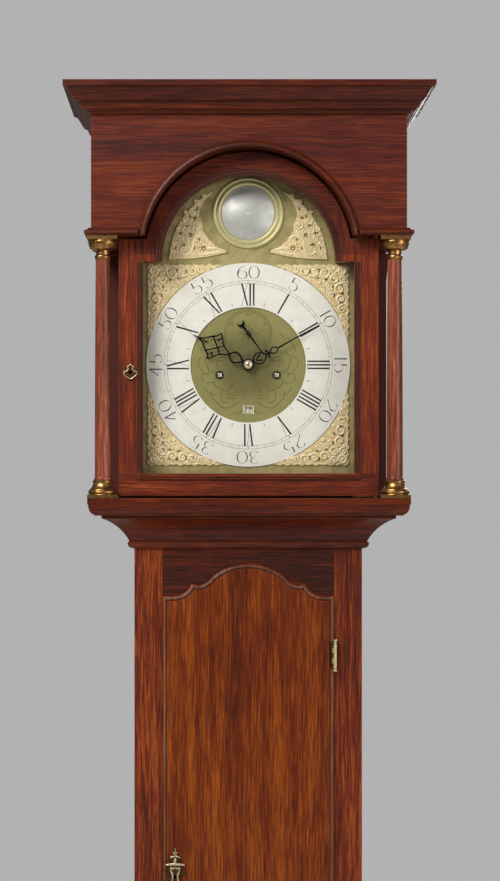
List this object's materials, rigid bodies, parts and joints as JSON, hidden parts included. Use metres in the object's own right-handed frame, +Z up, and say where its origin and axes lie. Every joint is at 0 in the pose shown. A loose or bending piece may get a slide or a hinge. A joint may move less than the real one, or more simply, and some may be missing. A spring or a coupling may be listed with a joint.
{
  "type": "longcase clock",
  "caption": "Tall oak case clock with an arched brass dial, columned hood, shaped trunk door, long pendulum and weight-driven movement.",
  "frame": {"origin": "on the floor at the middle of the clock's outer box", "axes": "+X to the right seen from the front, the front faces -Y, +Z up"},
  "size_m": [0.504, 0.268, 2.11],
  "materials": {
    "oak_dark": "waxed dark oak mouldings",
    "oak": "waxed red-brown oak",
    "oak_door": "waxed quarter-sawn oak",
    "deal": "bare softwood",
    "glass": "old clear glass",
    "case_brass": "aged lacquered brass",
    "dial_brass": "matted brass",
    "gilt": "gilt cast brass",
    "silvered": "silvered brass",
    "train_brass": "polished brass",
    "steel": "polished steel",
    "blued_steel": "blued steel",
    "iron": "painted cast iron",
    "bell_metal": "bell metal",
    "gut": "gut line"
  },
  "bodies": {
    "case": {"plinth": "oak_dark", "base_front": "oak", "base_sides": "oak", "base_moulding": "oak_dark", "case_floor": "deal", "backboard": "deal", "trunk_frame": "oak", "trunk_sides": "oak", "throat_moulding": "oak_dark", "seatboard": "deal", "trunk_hinge_leaves": "case_brass", "dial_plate": "dial_brass", "chapter_ring": "silvered", "corner_spandrels": "gilt", "arch_spandrels": "gilt", "arch_boss": "silvered", "front_plate": "train_brass", "back_plate": "train_brass", "pillars": "train_brass", "back_cock": "train_brass", "bell": "bell_metal", "seatboard_fittings": "iron", "going_line": "gut", "strike_line": "gut"},
    "trunk_door_leaf": {"trunk_door": "oak_door", "trunk_escutcheon": "case_brass", "trunk_lock": "iron", "trunk_door_leaves": "case_brass"},
    "hood": {"hood_base": "oak", "hood_sides": "oak", "side_windows": "glass", "frieze": "oak", "arch_moulding": "oak_dark", "cornice": "oak_dark", "hood_top": "deal", "hood_columns": "oak", "column_mounts": "case_brass", "dial_mask": "oak_dark"},
    "hood_door_leaf": {"hood_door": "oak", "hood_glass": "glass", "hood_escutcheon": "case_brass", "hood_lock": "iron", "hood_door_pivots": "case_brass"},
    "calendar": {"calendar_disc": "silvered"},
    "going_barrel_arbor": {"going_barrel": "train_brass"},
    "strike_barrel_arbor": {"strike_barrel": "train_brass"},
    "centre_arbor": {"centre_wheel": "train_brass", "minute_hand": "blued_steel"},
    "third_arbor": {"third_wheel": "train_brass"},
    "escape_arbor": {"escape_wheel": "train_brass", "seconds_hand": "blued_steel"},
    "minute_stud_wheel": {"minute_wheel": "train_brass"},
    "hour_pipe": {"hour_wheel": "train_brass", "hour_hand": "blued_steel"},
    "pin_wheel_arbor": {"pin_wheel": "train_brass"},
    "hammer_arbor": {"hammer": "steel"},
    "pallet_arbor": {"anchor": "steel"},
    "pendulum_swing": {"pendulum": "train_brass"},
    "going_drive": {"going_weight": "iron"},
    "strike_drive": {"strike_weight": "iron"}
  },
  "joints": [
    {"name": "hood_slide", "type": "slide", "parent": "case", "child": "hood", "axis": [0, -1, 0], "range_m": [0, 0.2]},
    {"name": "hood_door_hinge", "type": "hinge", "parent": "hood", "child": "hood_door_leaf", "pos_m": [0.1735, -0.0895, 1.645], "axis": [0, 0, 1], "range_deg": [0, 100]},
    {"name": "trunk_door_hinge", "type": "hinge", "parent": "case", "child": "trunk_door_leaf", "pos_m": [0.1203, -0.0485, 1], "axis": [0, 0, 1], "range_deg": [0, 110]},
    {"name": "minute_hand_turn", "type": "hinge", "parent": "case", "child": "centre_arbor", "pos_m": [0, -0.002, 1.73], "axis": [0, 1, 0], "continuous": true},
    {"name": "hour_hand_turn", "type": "hinge", "parent": "case", "child": "hour_pipe", "pos_m": [0, -0.002, 1.73], "axis": [0, 1, 0], "continuous": true},
    {"name": "minute_wheel_turn", "type": "hinge", "parent": "case", "child": "minute_stud_wheel", "pos_m": [-0.01099, 0, 1.70644], "axis": [0, 1, 0], "continuous": true},
    {"name": "third_wheel_turn", "type": "hinge", "parent": "case", "child": "third_arbor", "pos_m": [0.01285, 0, 1.75397], "axis": [0, 1, 0], "continuous": true},
    {"name": "seconds_hand_turn", "type": "hinge", "parent": "case", "child": "escape_arbor", "pos_m": [0, 0, 1.7738], "axis": [0, 1, 0], "continuous": true},
    {"name": "going_barrel_turn", "type": "hinge", "parent": "case", "child": "going_barrel_arbor", "pos_m": [0.0396, 0, 1.7157], "axis": [0, 1, 0], "continuous": true},
    {"name": "calendar_turn", "type": "hinge", "parent": "case", "child": "calendar", "pos_m": [0, 0, 1.6475], "axis": [0, 1, 0], "continuous": true},
    {"name": "strike_barrel_turn", "type": "hinge", "parent": "case", "child": "strike_barrel_arbor", "pos_m": [-0.0396, 0, 1.7157], "axis": [0, 1, 0], "continuous": true},
    {"name": "pin_wheel_turn", "type": "hinge", "parent": "case", "child": "pin_wheel_arbor", "pos_m": [-0.0446, 0, 1.75261], "axis": [0, 1, 0], "continuous": true},
    {"name": "hammer_lift", "type": "hinge", "parent": "case", "child": "hammer_arbor", "pos_m": [-0.06, 0, 1.77], "axis": [0, 1, 0], "range_deg": [-10, 0]},
    {"name": "pendulum_swing", "type": "hinge", "parent": "case", "child": "pendulum_swing", "pos_m": [0, 0.088, 1.804], "axis": [0, 1, 0], "range_deg": [-2.5, 2.5]},
    {"name": "pallets_rock", "type": "hinge", "parent": "case", "child": "pallet_arbor", "pos_m": [0, -0.002, 1.804], "axis": [0, 1, 0], "range_deg": [-2.5, 2.5]},
    {"name": "going_weight_drop", "type": "slide", "parent": "case", "child": "going_drive", "axis": [0, 0, 1], "range_m": [0, 0.9], "deforming": ["going_line"]},
    {"name": "strike_weight_drop", "type": "slide", "parent": "case", "child": "strike_drive", "axis": [0, 0, 1], "range_m": [0, 0.9], "deforming": ["strike_line"]}
  ],
  "couplings": [
    {"joint": "hour_hand_turn", "follows": "minute_hand_turn", "ratio": 0.083333},
    {"joint": "minute_wheel_turn", "follows": "minute_hand_turn", "ratio": -1},
    {"joint": "third_wheel_turn", "follows": "minute_hand_turn", "ratio": -7.5},
    {"joint": "seconds_hand_turn", "follows": "minute_hand_turn", "ratio": 60},
    {"joint": "going_barrel_turn", "follows": "minute_hand_turn", "ratio": -0.083333},
    {"joint": "calendar_turn", "follows": "minute_hand_turn", "ratio": -0.0013441},
    {"joint": "pin_wheel_turn", "follows": "strike_barrel_turn", "ratio": -10.5},
    {"joint": "pallets_rock", "follows": "pendulum_swing", "ratio": 1}
  ]
}
